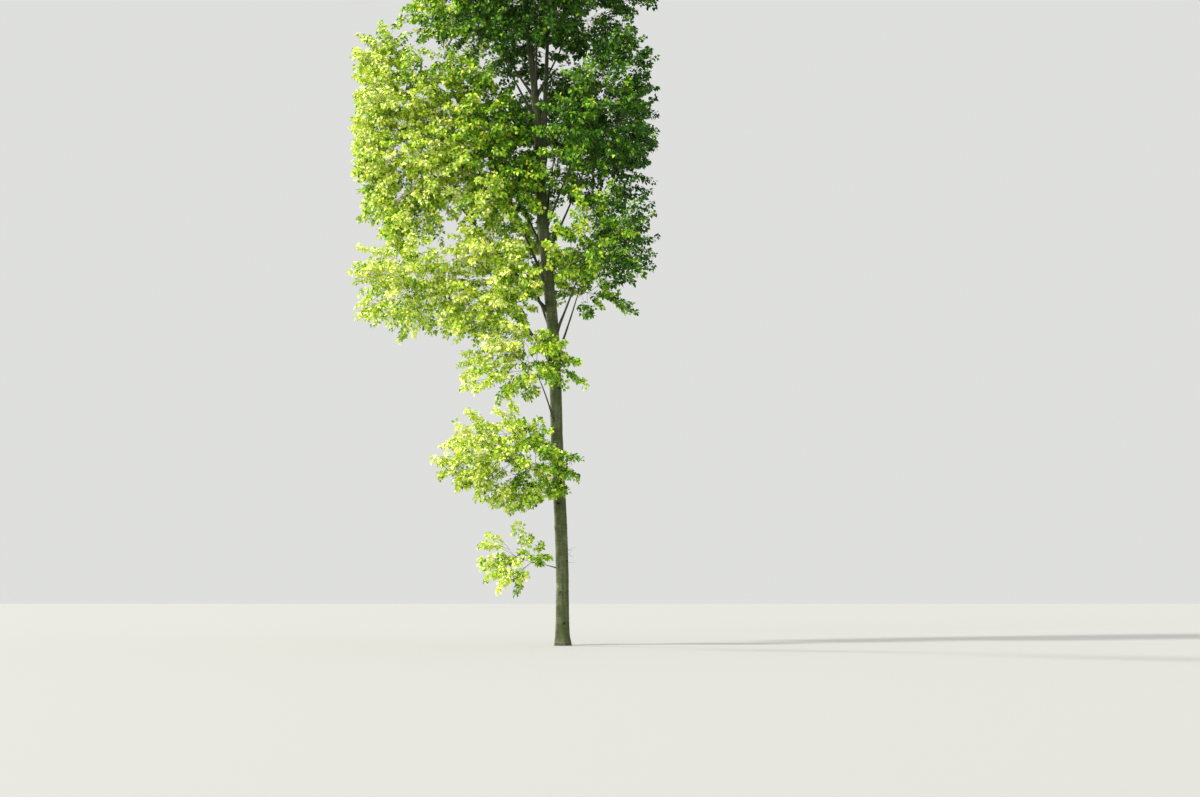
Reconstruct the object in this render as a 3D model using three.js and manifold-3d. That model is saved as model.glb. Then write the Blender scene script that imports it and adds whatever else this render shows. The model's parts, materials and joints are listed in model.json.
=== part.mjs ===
// A plantation-grown poplar, whole: a tall clean stem with a shallow root flare that forks high up,
// slender boughs that leave it steeply, and a light crown of separate leaf masses. The crown reaches
// furthest and lowest on the side that had the light, which is -X and a little -Y.
// Millimetres, +Z up. The origin is on the ground, at the middle of the stem's flat foot.

import * as THREE from 'three';
import { mergeVertices } from 'three/addons/utils/BufferGeometryUtils.js';
import Module from 'manifold-3d';

const manifold = await Module();
manifold.setup();

// Stem
const TREE_HEIGHT = 28000;
const FOOT_RADIUS = 205;
const FORK_HEIGHT = 15200;
const FORK_RADIUS = 172;
const LEADER_BASE_HEIGHT = 15900;
const LEADER_BASE_RADIUS = 130;
const TIP_RADIUS = 14;
const LEADER_TAPER_POWER = 1.2;
const FLARE_WIDTH = 72;
const FLARE_HEIGHT = 330;
const BUTTRESS_COUNT = 5;
const BUTTRESS_DEPTH = 0.09;
const BUTTRESS_HEIGHT = 420;
const BOW_REACH = -900;
const BOW_HALF_LENGTH = 34000;
const SWAY_REACH = 38;
const SWAY_LENGTH = 7600;
const SWAY_DEPTH_RHYTHM = 0.7;
const STEM_SIDES = 15;
const STEM_FOOT_RINGS = [0, 130, 320, 640, 1100];
const STEM_RING_SPACING = 1350;

// Second leader, the weaker arm of the fork
const SECOND_LEADER_RADIUS = 92;
const SECOND_LEADER_TIP_RADIUS = 22;
const SECOND_LEADER_LEAN = { x: 950, y: 560 };
const SECOND_LEADER_TOP = 23500;
const SECOND_LEADER_MIDDLE_SHARE = 0.68;
const SECOND_LEADER_ROOT_DEPTH = 900;

// Boughs
const BOUGH_SIDES = 5;
const BOUGH_STEPS = 5;
const BOUGH_TIP_SHARE = 0.34;
const COLLAR_SHARE = 0.45;
const COLLAR_LENGTH_SHARE = 0.05;
const BOUGH_TIP_DEPTH = 0.5;
const BOUGH_ENTRY_SHARE = 0.35;
const BOUGH_BEND_SHARE = 0.55;
const BOUGH_LATE_BEND = 0.28;
const BOUGH_ARCHED_BEND = 0.95;

// Room left between touching pieces, and between one leaf mass and the next
const SEAT_GAP = 0.3;
const MASS_GAP_SHARE = 1.012;

// Corners nearer than this are one corner
const MERGE_DISTANCE = 0.001;

// Leaf masses
const LUMP_COUNT = 14;
const LUMP_SHARPNESS = 9;
const LUMP_LEAST = -0.24;
const LUMP_MOST = 0.36;
const UNDERSIDE_SHARE = 0.84;
const PLUME_NARROWING = 0.3;
const SMALL_MASS_DETAIL = 2;
const LARGE_MASS_DETAIL = 3;
const LIGHT_SIDE_SEED = 11;
const TIER_SEED_STEP = 100;
const TOP_SEED = 900;

// The masses on the light side, each where it hangs: its middle, half its width, depth and height, how
// far its top leans out as a share of its half height, the height and radius at which its bough leaves
// the stem, and how far that bough arches up (1) or hangs out and turns up late (0).
const LIGHT_SIDE_MASSES = [
  { name: 'low_spray', at: [-1480, -420, 2620], half: [1080, 800, 1080], lean: 0, root: 2350, radius: 17,
    arch: 0.9, detail: SMALL_MASS_DETAIL },
  { name: 'lower', at: [-1480, -1600, 5720], half: [1980, 1250, 1580], lean: 0.25, root: 4300, radius: 36,
    arch: 0.65, detail: SMALL_MASS_DETAIL },
  { name: 'ledge', at: [-1300, -1350, 8650], half: [2100, 1200, 1300], lean: 0, root: 6700, radius: 36,
    arch: 0.6, detail: SMALL_MASS_DETAIL },
  { name: 'inner_left', at: [-2500, -700, 11330], half: [1850, 1450, 1980], lean: 0.1, root: 8600, radius: 44,
    arch: 0.5, detail: SMALL_MASS_DETAIL },
  { name: 'outer_left', at: [-5000, -950, 11200], half: [1300, 1250, 1900], lean: 0.1, root: 9300, radius: 42,
    arch: 0.75, detail: SMALL_MASS_DETAIL },
  { name: 'high_left', at: [-2600, -700, 15350], half: [1780, 1450, 3250], lean: 0.25, root: 11100,
    radius: 48, arch: 0.35, detail: SMALL_MASS_DETAIL },
  { name: 'far_left', at: [-5050, -500, 16050], half: [1450, 1550, 3700], lean: 0.12, root: 10300, radius: 52,
    arch: 0.4, detail: LARGE_MASS_DETAIL },
];

// The rest of the crown, in tiers of like masses round the stem. Bearings are in degrees from +X
// towards +Y, and drop is how far below its mass a bough leaves the stem.
const CROWN_TIERS = [
  { name: 'skirt', height: 12100, reach: 2000, half: [1350, 1350, 1650], bearings: [325, 38, 112], drop: 2900,
    radius: 44 },
  { name: 'shoulder', height: 16100, reach: 2450, half: [1500, 1500, 2250], bearings: [318, 15, 75, 128],
    drop: 3500, radius: 46 },
  { name: 'waist', height: 20400, reach: 2250, half: [1450, 1450, 2300], bearings: [8, 80, 148, 210, 285],
    drop: 3500, radius: 40 },
  { name: 'upper', height: 24200, reach: 1350, half: [1200, 1200, 2100], bearings: [35, 158, 275], drop: 2900,
    radius: 30 },
];
const TOP_MASS = { name: 'top', height: 26650, half: [900, 900, 1550], lean: 0 };
const TIER_LEAN = 0.28;
const TIER_HEIGHT_STAGGER = 380;
const TIER_REACH_STAGGER = 0.08;
const TIER_BOUGH_ARCH = 0.3;

// Colours
const BARK_GREY = 0x8a8671;
const BOUGH_BROWN = 0x4c463a;
const LEAF_SUNLIT = 0xa9bf3a;
const LEAF_SHADED = 0x5f8a2c;

// The usual small 32-bit generator: the same seed always gives the same run of numbers from 0 to 1.
function seededRandom(seed) {
  let state = seed >>> 0;
  return () => {
    state = (state + 0x6d2b79f5) >>> 0;
    let mixed = Math.imul(state ^ (state >>> 15), state | 1);
    mixed ^= mixed + Math.imul(mixed ^ (mixed >>> 7), mixed | 61);
    return ((mixed ^ (mixed >>> 14)) >>> 0) / 4294967296;
  };
}

// A solid that can be cut, from a closed geometry. A lathe's poles give flat triangles, which are dropped.
function solidFrom(geometry) {
  geometry.deleteAttribute('normal');
  geometry.deleteAttribute('uv');
  const merged = mergeVertices(geometry, MERGE_DISTANCE);
  const corners = merged.index.array;
  const triangles = [];
  for (let i = 0; i < corners.length; i += 3) {
    const [a, b, c] = corners.slice(i, i + 3);
    if (a !== b && b !== c && c !== a) triangles.push(a, b, c);
  }
  return new manifold.Manifold(new manifold.Mesh({
    numProp: 3,
    vertProperties: new Float32Array(merged.attributes.position.array),
    triVerts: new Uint32Array(triangles),
  }));
}

function meshFrom(solid, name, material) {
  const { vertProperties, triVerts } = solid.getMesh();
  const geometry = new THREE.BufferGeometry();
  geometry.setAttribute('position', new THREE.BufferAttribute(vertProperties, 3));
  geometry.setIndex(new THREE.BufferAttribute(triVerts, 1));
  geometry.computeVertexNormals();
  const mesh = new THREE.Mesh(geometry, material);
  mesh.name = name;
  return mesh;
}

// The stem's middle at a height: a long bow towards the light with a slight wave in it.
function stemCentre(height) {
  const bow = BOW_REACH * (1 - Math.cos((Math.PI * height) / BOW_HALF_LENGTH));
  const settle = Math.min(1, height / SWAY_LENGTH);
  const wave = (2 * Math.PI * height) / SWAY_LENGTH;
  return new THREE.Vector3(
    bow + SWAY_REACH * settle * Math.sin(wave),
    SWAY_REACH * settle * Math.sin(wave * SWAY_DEPTH_RHYTHM),
    height,
  );
}

function stemRadius(height) {
  const flare = FLARE_WIDTH * Math.exp(-height / FLARE_HEIGHT);
  if (height <= FORK_HEIGHT) {
    return THREE.MathUtils.lerp(FOOT_RADIUS, FORK_RADIUS, height / FORK_HEIGHT) + flare;
  }
  if (height <= LEADER_BASE_HEIGHT) {
    const past = (height - FORK_HEIGHT) / (LEADER_BASE_HEIGHT - FORK_HEIGHT);
    return THREE.MathUtils.lerp(FORK_RADIUS, LEADER_BASE_RADIUS, past);
  }
  const left = (TREE_HEIGHT - height) / (TREE_HEIGHT - LEADER_BASE_HEIGHT);
  return TIP_RADIUS + (LEADER_BASE_RADIUS - TIP_RADIUS) * left ** LEADER_TAPER_POWER;
}

function stemRingHeights() {
  const heights = [...STEM_FOOT_RINGS];
  const foot = heights.at(-1);
  const count = Math.round((TREE_HEIGHT - foot) / STEM_RING_SPACING);
  for (let i = 1; i <= count; i += 1) heights.push(foot + ((TREE_HEIGHT - foot) * i) / count);
  return heights;
}

// Level rings, so that the foot is a flat cut. A gap swells the stem into the cutter for its neighbours.
function stemSolid(gap = 0) {
  const heights = stemRingHeights();
  const profile = heights.map((height) => new THREE.Vector2(stemRadius(height) + gap, height));
  profile[0].y -= gap;
  profile.at(-1).y += gap;
  profile.unshift(new THREE.Vector2(0, profile[0].y));
  profile.push(new THREE.Vector2(0, profile.at(-1).y));
  const geometry = new THREE.LatheGeometry(profile, STEM_SIDES);
  const place = geometry.attributes.position;
  for (let i = 0; i < place.count; i += 1) {
    const height = place.getY(i);
    const angle = Math.atan2(place.getZ(i), place.getX(i));
    const buttress = BUTTRESS_DEPTH * Math.exp(-Math.max(height, 0) / BUTTRESS_HEIGHT);
    const swell = 1 + buttress * Math.cos(BUTTRESS_COUNT * angle);
    const centre = stemCentre(Math.max(height, 0));
    place.setXYZ(i, centre.x + place.getX(i) * swell, centre.y - place.getZ(i) * swell, height);
  }
  return solidFrom(geometry);
}

// A closed tapering limb along a curve. A gap swells it all round, past both ends too.
function limbSolid(curve, radiusAt, gap = 0) {
  const profile = [new THREE.Vector2(0, 0)];
  for (let i = 0; i <= BOUGH_STEPS; i += 1) {
    profile.push(new THREE.Vector2(radiusAt(i / BOUGH_STEPS) + gap, i));
  }
  profile.push(new THREE.Vector2(0, BOUGH_STEPS));
  const geometry = new THREE.LatheGeometry(profile, BOUGH_SIDES);
  const { tangents, normals, binormals } = curve.computeFrenetFrames(BOUGH_STEPS, false);
  const place = geometry.attributes.position;
  for (let i = 0; i < place.count; i += 1) {
    const ring = Math.round(place.getY(i));
    const corner = curve.getPointAt(ring / BOUGH_STEPS);
    corner.addScaledVector(normals[ring], place.getX(i));
    corner.addScaledVector(binormals[ring], -place.getZ(i));
    if (ring === 0) corner.addScaledVector(tangents[ring], -gap);
    if (ring === BOUGH_STEPS) corner.addScaledVector(tangents[ring], gap);
    place.setXYZ(i, corner.x, corner.y, corner.z);
  }
  return solidFrom(geometry);
}

function boughRadiusAt(rootRadius) {
  return (share) => rootRadius * (
    THREE.MathUtils.lerp(1, BOUGH_TIP_SHARE, share)
    + COLLAR_SHARE * Math.exp(-share / COLLAR_LENGTH_SHARE)
  );
}

function lumpsFor(seed) {
  const random = seededRandom(seed);
  return Array.from({ length: LUMP_COUNT }, () => ({
    towards: new THREE.Vector3(random() - 0.5, random() - 0.5, random() - 0.5).normalize(),
    height: THREE.MathUtils.lerp(LUMP_LEAST, LUMP_MOST, random()),
  }));
}

// Where the uneven surface of a mass lies in a direction from its middle. It narrows towards the top,
// is flatter below, and its top leans out from the stem.
function massSurface(mass, direction) {
  let swell = 1;
  for (const lump of mass.lumps) {
    swell += lump.height * Math.max(0, direction.dot(lump.towards)) ** LUMP_SHARPNESS;
  }
  const narrowing = 1 - PLUME_NARROWING * Math.max(0, direction.z);
  const [wide, deep, tall] = mass.half;
  const height = direction.z < 0 ? tall * UNDERSIDE_SHARE : tall;
  const reach = new THREE.Vector3(wide * narrowing, deep * narrowing, height);
  const outward = mass.centre.clone().sub(stemCentre(mass.centre.z));
  return reach.multiply(direction).multiplyScalar(swell).add(mass.centre)
    .addScaledVector(outward.setLength(1), mass.lean * tall * direction.z);
}

function massSolid(mass) {
  const geometry = new THREE.IcosahedronGeometry(1, mass.detail);
  const place = geometry.attributes.position;
  for (let i = 0; i < place.count; i += 1) {
    const direction = new THREE.Vector3().fromBufferAttribute(place, i).normalize();
    const point = massSurface(mass, direction);
    place.setXYZ(i, point.x, point.y, point.z);
  }
  return solidFrom(geometry);
}

// A mass a little larger about its own middle, to cut its neighbours clear of it.
function swollenMass(mass) {
  const { x, y, z } = mass.centre;
  return mass.solid.translate([-x, -y, -z]).scale(MASS_GAP_SHARE).translate([x, y, z]);
}

// From the stem's middle out to just inside the mass that the bough carries.
function boughCurve(mass) {
  const start = stemCentre(mass.root);
  const entryFrom = start.clone().lerp(stemCentre(mass.centre.z), BOUGH_ENTRY_SHARE);
  const inward = entryFrom.sub(mass.centre).normalize();
  const end = mass.centre.clone().lerp(massSurface(mass, inward), BOUGH_TIP_DEPTH);
  const bend = start.clone().lerp(end, BOUGH_BEND_SHARE);
  const bendRise = THREE.MathUtils.lerp(BOUGH_LATE_BEND, BOUGH_ARCHED_BEND, mass.arch);
  bend.z = THREE.MathUtils.lerp(start.z, end.z, bendRise);
  return new THREE.QuadraticBezierCurve3(start, bend, end);
}

function lightSideMasses() {
  return LIGHT_SIDE_MASSES.map((row, index) => ({
    ...row,
    centre: new THREE.Vector3(...row.at),
    lumps: lumpsFor(LIGHT_SIDE_SEED + index),
    colour: LEAF_SUNLIT,
  }));
}

function tierMasses(tier, tierIndex) {
  return tier.bearings.map((bearing, index) => {
    const angle = THREE.MathUtils.degToRad(bearing);
    const side = index % 2 === 0 ? 1 : -1;
    const height = tier.height + side * TIER_HEIGHT_STAGGER;
    const reach = tier.reach * (1 + side * TIER_REACH_STAGGER);
    const outward = new THREE.Vector3(Math.cos(angle) * reach, Math.sin(angle) * reach, 0);
    return {
      name: `${tier.name}_${index + 1}`,
      centre: stemCentre(height).add(outward),
      half: tier.half,
      lean: TIER_LEAN,
      root: height - tier.drop,
      radius: tier.radius,
      arch: TIER_BOUGH_ARCH,
      lumps: lumpsFor(TIER_SEED_STEP * (tierIndex + 1) + index),
      detail: SMALL_MASS_DETAIL,
      colour: LEAF_SHADED,
    };
  });
}

function topMass() {
  return {
    ...TOP_MASS,
    centre: stemCentre(TOP_MASS.height),
    lumps: lumpsFor(TOP_SEED),
    detail: SMALL_MASS_DETAIL,
    colour: LEAF_SUNLIT,
  };
}

function secondLeaderCurve() {
  const start = stemCentre(FORK_HEIGHT - SECOND_LEADER_ROOT_DEPTH);
  const middle = stemCentre((FORK_HEIGHT + SECOND_LEADER_TOP) / 2);
  const end = stemCentre(SECOND_LEADER_TOP);
  middle.x += SECOND_LEADER_LEAN.x * SECOND_LEADER_MIDDLE_SHARE;
  middle.y += SECOND_LEADER_LEAN.y * SECOND_LEADER_MIDDLE_SHARE;
  end.x += SECOND_LEADER_LEAN.x;
  end.y += SECOND_LEADER_LEAN.y;
  return new THREE.QuadraticBezierCurve3(start, middle, end);
}

function secondLeaderRadius(share) {
  return THREE.MathUtils.lerp(SECOND_LEADER_RADIUS, SECOND_LEADER_TIP_RADIUS, share);
}

function matte(colour) {
  return new THREE.MeshStandardMaterial({ color: colour, roughness: 0.85, metalness: 0 });
}

function buildTree() {
  const tree = new THREE.Group();
  const stem = stemSolid();
  const limbCutters = [stemSolid(SEAT_GAP)];
  tree.add(meshFrom(stem, 'trunk', matte(BARK_GREY)));

  const leaderCurve = secondLeaderCurve();
  const leader = limbSolid(leaderCurve, secondLeaderRadius).subtract(limbCutters[0]);
  limbCutters.push(limbSolid(leaderCurve, secondLeaderRadius, SEAT_GAP));
  tree.add(meshFrom(leader, 'second_leader', matte(BARK_GREY)));

  const masses = [...lightSideMasses(), ...CROWN_TIERS.flatMap(tierMasses)];
  for (const mass of masses) {
    const curve = boughCurve(mass);
    const radiusAt = boughRadiusAt(mass.radius);
    let bough = limbSolid(curve, radiusAt);
    for (const cutter of limbCutters) bough = bough.subtract(cutter);
    limbCutters.push(limbSolid(curve, radiusAt, SEAT_GAP));
    tree.add(meshFrom(bough, `bough_${mass.name}`, matte(BOUGH_BROWN)));
  }

  masses.push(topMass());
  const massCutters = [];
  for (const mass of masses) {
    mass.solid = massSolid(mass);
    let foliage = mass.solid;
    for (const cutter of [...limbCutters, ...massCutters]) foliage = foliage.subtract(cutter);
    massCutters.push(swollenMass(mass));
    tree.add(meshFrom(foliage, `foliage_${mass.name}`, matte(mass.colour)));
  }
  return tree;
}

export default buildTree();
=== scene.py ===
"""A plantation poplar in leaf: bark, boughs, twigs and leaves grown round the fixed frame, in metres."""
import json
import math
from typing import NamedTuple

import bmesh
import bpy
import numpy as np
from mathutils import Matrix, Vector, noise
from mathutils.bvhtree import BVHTree

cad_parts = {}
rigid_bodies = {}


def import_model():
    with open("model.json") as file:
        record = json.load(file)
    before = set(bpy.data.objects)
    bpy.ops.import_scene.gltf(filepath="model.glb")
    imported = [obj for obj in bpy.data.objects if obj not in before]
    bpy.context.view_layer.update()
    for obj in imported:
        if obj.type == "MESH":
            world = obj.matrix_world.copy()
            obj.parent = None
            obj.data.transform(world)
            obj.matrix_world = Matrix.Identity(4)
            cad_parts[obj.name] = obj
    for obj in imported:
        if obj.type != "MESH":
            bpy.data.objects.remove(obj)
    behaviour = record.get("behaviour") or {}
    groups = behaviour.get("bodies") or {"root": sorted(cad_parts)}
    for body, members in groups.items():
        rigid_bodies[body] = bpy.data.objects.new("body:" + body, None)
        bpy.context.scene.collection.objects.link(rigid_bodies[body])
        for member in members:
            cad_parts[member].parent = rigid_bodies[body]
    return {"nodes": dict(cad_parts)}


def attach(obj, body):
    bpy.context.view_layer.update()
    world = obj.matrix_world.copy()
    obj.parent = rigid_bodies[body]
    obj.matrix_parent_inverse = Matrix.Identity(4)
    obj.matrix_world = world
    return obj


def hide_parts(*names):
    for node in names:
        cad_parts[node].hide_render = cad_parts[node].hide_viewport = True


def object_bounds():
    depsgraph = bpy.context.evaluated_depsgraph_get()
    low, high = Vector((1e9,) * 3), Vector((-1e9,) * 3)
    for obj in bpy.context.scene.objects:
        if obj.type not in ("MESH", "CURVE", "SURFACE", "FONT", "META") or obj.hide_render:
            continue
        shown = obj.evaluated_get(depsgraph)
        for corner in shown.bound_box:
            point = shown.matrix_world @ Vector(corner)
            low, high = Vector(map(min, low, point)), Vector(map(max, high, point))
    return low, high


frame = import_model()
CAD_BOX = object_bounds()

SEED = 27
UP = np.array([0.0, 0.0, 1.0])
SEAM = 0.00002
LIGHT_FROM = Vector((-0.70, -0.45, 0.55)).normalized()

# The photograph's view: where its camera stands, how far it tilts up, and its lens on a 36 mm frame
CAMERA_PLACE = (1.17, -65.6, 1.5)
CAMERA_TILT = math.radians(5.4)
CAMERA_LENS = 63
CAMERA_SENSOR = 36

# Limbs: the trunk's rings lie closer below TRUNK_LOW_TO, where they are seen best, and a bough is
# followed into the trunk in steps and thickens to a collar there
TRUNK_SIDES = 64
TRUNK_LOW_STEP = 0.026
TRUNK_HIGH_STEP = 0.07
TRUNK_LOW_TO = 11.0
LEVEL_ROOM = 0.002
BOUGH_SIDES = 12
LEADER_SIDES = 20
FRAME_BOUGH_SIDES = 5
LIMB_STEP = 0.075
LIMB_EASE = 40
ROOT_STEP = 0.05
ROOT_DEEP = 0.05
COLLAR_FROM = 0.16
COLLAR_REACH = 0.11
COLLAR_SWELL = 0.7
TRUNK_TIP_DEPTHS = (3.2, 0.05)

# Dead twigs on the clean trunk
DEAD_TWIGS = 5
DEAD_TWIG_HEIGHTS = (2.55, 3.35)
DEAD_TWIG_BEARINGS = (-0.6, 0.35)
DEAD_TWIG_LENGTHS = (0.16, 0.38)
DEAD_TWIG_BEND = 0.3
DEAD_TWIG_SCATTER = 0.35
DEAD_TWIG_RADIUS = 0.006
DEAD_TWIG_THINNING = 0.5
JUST_INSIDE = 0.9

# Bark relief: depths in metres, and how often the noise behind each mark repeats in a metre. A stem
# thinner than THICK_STEM has less of it
LUMP_SCALES = (2.2, 2.2, 2.2)
LUMP_DEPTH = 0.006
RING_SCALES = (4, 4, 15)
RING_DEPTH = 0.0035
THICK_STEM = 0.2
THIN_STEM_SHARE = 0.15
FISSURE_SCALES = (19, 19, 1.7)
FISSURE_DEPTH = 0.010
FISSURE_TOP = 2.6
FISSURE_FADE = 1.5
BOUGH_LUMP_SCALES = (5, 5, 5)
BOUGH_LUMP_SHARE = 0.16

# Moss grows round the bearing away from the light, and a paler side of painted light, standing in for the
# lit side,
# faces the other way: from -1 opposite it to 1 on it, where moss and the painted light fade in and out
MOSS_BEARING = math.radians(-35)
MOSSY_SIDE = (-0.3, 0.7)
PAINTED_LIGHT_SIDE = (-0.8, -0.2)

# Branch scars: their sizes are shares of the stem's radius, and their shapes shares of their own half width
WHORL_SPACING = 0.86
WHORL_SCATTER = 0.12
WHORL_UNEVENNESS = (0.75, 1.25)
SCARS_FROM = 0.8
SCARS_TO = 22.0
SCARS_A_WHORL = (2, 5)
SCAR_TURN_SCATTER = 0.2
SCAR_SHARE = 0.5
SCAR_SIZES = (0.55, 1.15)
SCAR_DROOPS = (0.35, 0.85)
SCAR_ZONE = 1.7
SCAR_ENDS = 1.3
SCAR_PROUD = 0.09
LIP_AT = 0.4
LIP_WIDTH = 0.22
HOLLOW_SHARE = 0.8
HOLLOW_WIDTH = 0.2
FAR_FROM_SCARS = 9.0

# The dark lens of a scar, and the whiskers above it that curve down on both sides
LENS_ACROSS = 1.35
LENS_UP = 2.6
LENS_FADE = (0.5, 1.1)
WHISKER_UP = 0.45
WHISKER_FADE = (0.05, 0.16)
WHISKER_ENDS = (1.0, 1.5)
WHISKER_SHOWN = 0.85


class Grain(NamedTuple):
    """Noise on the bark: how often it repeats in a metre round the limb and along it, its detail, and
    the values between which its marks fade out."""

    around: float
    along: float
    detail: float
    fade: tuple


BANDS = Grain(around=2.5, along=21.0, detail=3.0, fade=(0.36, 0.46))
RINGS = Grain(around=0.8, along=11.0, detail=0.0, fade=(0.006, 0.024))
DASHES = Grain(around=13.0, along=78.0, detail=1.0, fade=(0.31, 0.38))
CRACKS = Grain(around=44.0, along=1.7, detail=3.0, fade=(0.36, 0.46))
STREAKS = Grain(around=11.0, along=0.9, detail=4.0, fade=(0.4, 0.6))
# Streaks along which the painted light on the lit side shows
PAINTED_LIGHT_STREAKS = (0.3, 0.55)
BLOTCH_SCALE = 2.6
BLOTCH_FADE = (0.38, 0.62)
SPECKLE_SCALE = 42.0
SPECKLE_FADE = (0.55, 0.7)

# How much of each mark's colour shows
SPECKLE_SHOWN = 0.45
BANDS_SHOWN = 0.4
RINGS_SHOWN = 0.6
DASHES_SHOWN = 0.75
SCARS_SHOWN = 0.95
CRACKS_SHOWN = 0.28
CRACKS_SHOWN_AT_FOOT = 0.45
MOSS_SHOWN = (0.35, 0.95)
# How much of the painted light on the lit side shows
PAINTED_LIGHT_SHOWN = 0.9

# Bark colours
TRUNK_BARK = {
    "pale": (0.170, 0.188, 0.100, 1),
    "dark": (0.080, 0.093, 0.040, 1),
    "moss": (0.056, 0.083, 0.012, 1),
    # painted light: the pale side towards the light
    "painted_sunlit": (0.345, 0.345, 0.205, 1),
}
BOUGH_BARK = {
    "pale": (0.120, 0.120, 0.085, 1),
    "dark": (0.065, 0.060, 0.042, 1),
    "moss": (0.030, 0.040, 0.014, 1),
    # painted light: the pale side towards the light
    "painted_sunlit": (0.170, 0.165, 0.120, 1),
}
SPECKLE_COLOUR = (0.30, 0.31, 0.22, 1)
BAND_COLOUR = (0.060, 0.060, 0.034, 1)
CRACK_COLOUR = (0.035, 0.034, 0.020, 1)
DASH_COLOUR = (0.026, 0.024, 0.016, 1)
SCAR_COLOUR = (0.012, 0.010, 0.007, 1)
# Painted shade: the bark is mixed towards a dark olive inside the crown, between these heights, where the
# leaves shade it
PAINTED_CROWN_SHADE = (0.018, 0.024, 0.008, 1)
PAINTED_CROWN_SHADE_SHARE = 0.45
PAINTED_CROWN_SHADE_HEIGHTS = (8.5, 15.0)


class Habit(NamedTuple):
    """How a mass grows: the room between its twigs, how much sprays rise and keep of their own slope,
    and how far they reach past its solid."""

    spacing: float
    rise: float
    slope: float
    reach: float


REST_HABIT = Habit(spacing=0.40, rise=0.4, slope=1.0, reach=0.68)
LIGHT_SIDE_HABIT = Habit(spacing=0.36, rise=-0.12, slope=0.6, reach=0.68)
LOW_HABIT = LIGHT_SIDE_HABIT._replace(reach=0.3)
SPARSE_HABIT = LOW_HABIT._replace(spacing=0.46, rise=0.05)
LIGHT_SIDE_HABITS = {
    "low_spray": SPARSE_HABIT,
    "lower": LOW_HABIT,
    "ledge": LOW_HABIT,
    "inner_left": LIGHT_SIDE_HABIT,
    "outer_left": LIGHT_SIDE_HABIT,
    "high_left": LIGHT_SIDE_HABIT,
    "far_left": LIGHT_SIDE_HABIT,
}

# Growth inside a mass: places for twigs to reach, how dear a turn and a long way round are to the
# branches that reach them, and the limb's own curve on through the mass
FULL_SCALE_HALF = 1.35
NODE_DEPTH = 0.26
CORE_DEPTH = 0.9
CORE_SHARE = 0.45
GAP_SCALES = (0.83, 0.83, 1.43)
GAP_LEVEL = -0.28
TURN_COST = 0.45
TRAIL_COST = 0.3
KEPT_HEADING = 0.5
AXIS_STEP = 0.42
AXIS_SHARE = 0.72
AXIS_RISE = 1.5
AXIS_BEND = 0.45
EASE_ROUNDS = 5
FORK_SWELL = 1.15

# How far leaves may pass the frame's box, as a share of its sides, less room for their own length,
# and how near the stem sprays keep to their solid, so that the trunk shows
STAND_PROUD = 0.03
LEAF_ROOM = 0.18
STEM_ROOM = 1.6

# Sprays: the ways they lean, and how they hang
TWIG_RADIUS = 0.0045
TWIG_THINNING = 0.4
SPRAY_RINGS = 4
SPRAY_LENGTHS = (0.45, 1.05)
SPRAY_SHORTEST = 0.22
SPRAY_ONWARD = 0.95
SPRAY_OUTWARD = 0.65
SPRAY_SCATTER = 0.3
HANGING_REACH = 1.2
SPRAY_SAGS = (0.05, 0.32)
SAG_LESS_BY_RISE = 0.2

# Shoots, left and right along each spray
SHOOTS_A_SPRAY = 8
FIRST_SHOOT = 0.22
SHOOT_LENGTH = 0.22
SHOOT_LENGTHS = (0.75, 1.2)
SHOOT_TAPER = (1.15, 0.65)
SHOOT_ONWARD = 0.8
SHOOT_SIDEWAYS = 0.85
LAST_SHOOT_SIDEWAYS = -0.13
SHOOT_UPWARD = 0.1
SHOOT_SCATTER = 0.28
SHOOT_DROOPS = (0.0, 0.2)
SHOOT_RADIUS = 0.0025

# Leaves: where they sit on a shoot, the corners of one in leaf lengths (right, onward and up), and
# what their stalks, tips and faces lean towards
LEAVES_A_SHOOT = 6
FIRST_LEAF = 0.12
LEAF_PLACES = (0.1, 0.9)
LEAF_TURN = math.radians(137.5)
LEAF_LENGTH = 0.134
LEAF_LENGTHS = (0.78, 1.15)
LEAF_TAPER = (1.03, 0.80)
LEAF_SHOULDER = (0.40, 0.10, 0.09)
LEAF_CHEEK = (0.37, 0.42, 0.10)
LEAF_TIP = (0, 1, -0.10)
STALK_LENGTH = 0.05
STALK_LENGTHS = (0.7, 1.2)
STALK_HALF = 0.0016
STALK_ALONG = 0.6
STALK_OUT = 0.9
STALK_UP = 0.2
LEAF_ALONG_STALK = 0.75
LEAF_HANG = 0.5
LEAF_SCATTER = 0.33
FACE_UP = 0.5
FACE_LIGHT = 0.45
FACE_SCATTER = 0.6

# How bright a leaf's colour is, from 0 to 1, as painted light and shade: the crown's dark side, what the
# side, height and way towards the light add, what its depth takes off as painted shade, and how much sprays
# and leaves differ. The lit side ends at an edge that moves towards the light from the first lit height to
# the second.
LEAST_LIGHT = 0.11
LIGHT_BY_PLACE = 0.68
LIGHT_AT_TOP = 0.24
LIGHT_BY_FACING = 0.12
LIGHT_BY_DEPTH = 0.14
SPRAY_VARIETY = 0.09
LEAF_VARIETY = 0.2
LIT_EDGE = 3.7
LIT_EDGE_SLOPE = 0.68
LIT_HEIGHTS = (11.8, 20.0)
LIT_EDGE_WIDTH = 5.6
TOP_HEIGHTS = (20.5, 26.5)

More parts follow.
